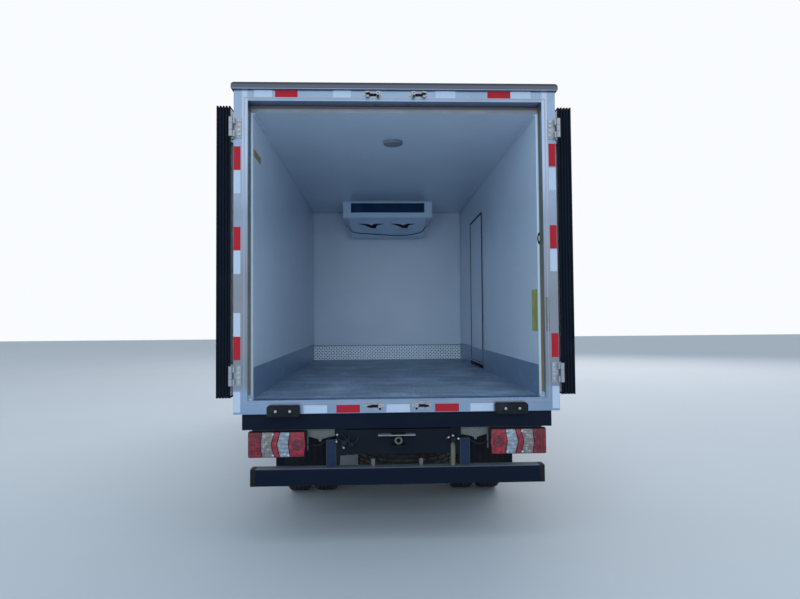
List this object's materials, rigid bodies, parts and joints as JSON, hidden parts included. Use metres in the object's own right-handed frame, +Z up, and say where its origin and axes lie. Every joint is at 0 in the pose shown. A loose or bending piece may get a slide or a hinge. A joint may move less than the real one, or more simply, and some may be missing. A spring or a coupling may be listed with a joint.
{
  "type": "refrigerated_truck",
  "caption": "Light cab-over refrigerated box truck with an insulated body, two rear doors folded back along the sides, a side door and a front-wall cooling unit",
  "frame": {"origin": "middle of the overall length and width, at ground height", "axes": "+X to the truck's right (the kerb side in the picture), +Y forward to the cab, +Z up"},
  "size_m": [2.36, 5.74, 2.943],
  "materials": {
    "white_panel": "gloss",
    "cab_paint": "gloss",
    "stainless": "brushed",
    "aluminium": "satin",
    "frame_paint": "satin",
    "bar_paint": "satin",
    "black_plastic": "matte",
    "grey_plastic": "matte",
    "unit_white": "satin",
    "lamp": "gloss",
    "clear_lamp": "clear",
    "glass": "clear",
    "tyre": "matte",
    "rubber": "matte",
    "rim_steel": "satin",
    "fabric": "matte",
    "cast": "rough",
    "steel": "satin"
  },
  "bodies": {
    "chassis": {"box_floor": "aluminium", "left_wall": "white_panel", "right_wall": "white_panel", "front_wall": "white_panel", "box_roof": "white_panel", "rear_frame": "stainless", "edge_rails": "aluminium", "door_hinges": "stainless", "kick_plates": "aluminium", "evaporator": "unit_white", "ceiling_lamp": "unit_white", "condenser_unit": "unit_white", "box_bearers": "frame_paint", "frame_rails": "frame_paint", "crossmembers": "frame_paint", "engine": "cast", "propshaft": "frame_paint", "rear_axle": "frame_paint", "front_axle": "frame_paint", "leaf_springs": "frame_paint", "fuel_tank": "frame_paint", "battery_box": "black_plastic", "exhaust": "steel", "side_guards": "aluminium", "mudguards": "black_plastic", "spare_wheel": "tyre", "underride_bar": "bar_paint", "tail_lamps": "lamp", "dock_bumpers": "rubber", "front_bumper": "cab_paint"},
    "cab": {"cab_shell": "cab_paint", "windscreen": "glass", "headlamps": "clear_lamp", "cab_floor": "grey_plastic", "seats": "fabric", "dashboard": "grey_plastic", "mirrors": "black_plastic"},
    "steering_wheel": {"steering_wheel": "black_plastic"},
    "cab_door_left": {"cab_door_left": "cab_paint", "door_glass_left": "glass"},
    "cab_door_right": {"cab_door_right": "cab_paint", "door_glass_right": "glass"},
    "rear_door_left": {"rear_door_left": "white_panel", "rear_door_left_gasket": "rubber", "rear_door_left_gear": "stainless"},
    "rear_door_right": {"rear_door_right": "white_panel", "rear_door_right_gasket": "rubber", "rear_door_right_gear": "stainless"},
    "side_door": {"side_door": "white_panel", "side_door_gear": "stainless"},
    "knuckle_left": {"knuckle_left": "cast"},
    "knuckle_right": {"knuckle_right": "cast"},
    "front_wheel_left": {"front_tyre_left": "tyre", "front_rim_left": "rim_steel"},
    "front_wheel_right": {"front_tyre_right": "tyre", "front_rim_right": "rim_steel"},
    "rear_wheels_left": {"rear_tyres_left": "tyre", "rear_rims_left": "rim_steel"},
    "rear_wheels_right": {"rear_tyres_right": "tyre", "rear_rims_right": "rim_steel"}
  },
  "joints": [
    {"name": "rear_door_left", "type": "hinge", "parent": "chassis", "child": "rear_door_left", "pos_m": [-1.061, -2.839, 1.85], "axis": [0, 0, 1], "range_deg": [0, 270]},
    {"name": "rear_door_right", "type": "hinge", "parent": "chassis", "child": "rear_door_right", "pos_m": [1.061, -2.839, 1.85], "axis": [0, 0, -1], "range_deg": [0, 270]},
    {"name": "side_door", "type": "hinge", "parent": "chassis", "child": "side_door", "pos_m": [1.052, 0.192, 1.7], "axis": [0, 0, 1], "range_deg": [0, 170]},
    {"name": "cab_tilt", "type": "hinge", "parent": "chassis", "child": "cab", "pos_m": [0, 2.755, 0.68], "axis": [-1, 0, 0], "range_deg": [0, 45]},
    {"name": "cab_door_left", "type": "hinge", "parent": "cab", "child": "cab_door_left", "pos_m": [-0.937, 2.55, 1], "axis": [0, 0, -1], "range_deg": [0, 70]},
    {"name": "cab_door_right", "type": "hinge", "parent": "cab", "child": "cab_door_right", "pos_m": [0.937, 2.55, 1], "axis": [0, 0, 1], "range_deg": [0, 70]},
    {"name": "steering_wheel", "type": "hinge", "parent": "cab", "child": "steering_wheel", "pos_m": [-0.43, 2.2, 1.44], "axis": [0, -0.6018, 0.7986], "range_deg": [-560, 560]},
    {"name": "steer_left", "type": "hinge", "parent": "chassis", "child": "knuckle_left", "pos_m": [-0.6, 1.75, 0.337], "axis": [0, 0, 1], "range_deg": [-35, 35]},
    {"name": "steer_right", "type": "hinge", "parent": "chassis", "child": "knuckle_right", "pos_m": [0.6, 1.75, 0.337], "axis": [0, 0, 1], "range_deg": [-35, 35]},
    {"name": "front_wheel_left", "type": "hinge", "parent": "knuckle_left", "child": "front_wheel_left", "pos_m": [-0.745, 1.75, 0.337], "axis": [1, 0, 0], "continuous": true},
    {"name": "front_wheel_right", "type": "hinge", "parent": "knuckle_right", "child": "front_wheel_right", "pos_m": [0.745, 1.75, 0.337], "axis": [1, 0, 0], "continuous": true},
    {"name": "rear_wheels_left", "type": "hinge", "parent": "chassis", "child": "rear_wheels_left", "pos_m": [-0.6605, -1.61, 0.337], "axis": [1, 0, 0], "continuous": true},
    {"name": "rear_wheels_right", "type": "hinge", "parent": "chassis", "child": "rear_wheels_right", "pos_m": [0.6605, -1.61, 0.337], "axis": [1, 0, 0], "continuous": true}
  ],
  "couplings": [
    {"joint": "steering_wheel", "follows": "steer_left", "ratio": 16},
    {"joint": "steer_right", "follows": "steer_left", "ratio": 1}
  ]
}
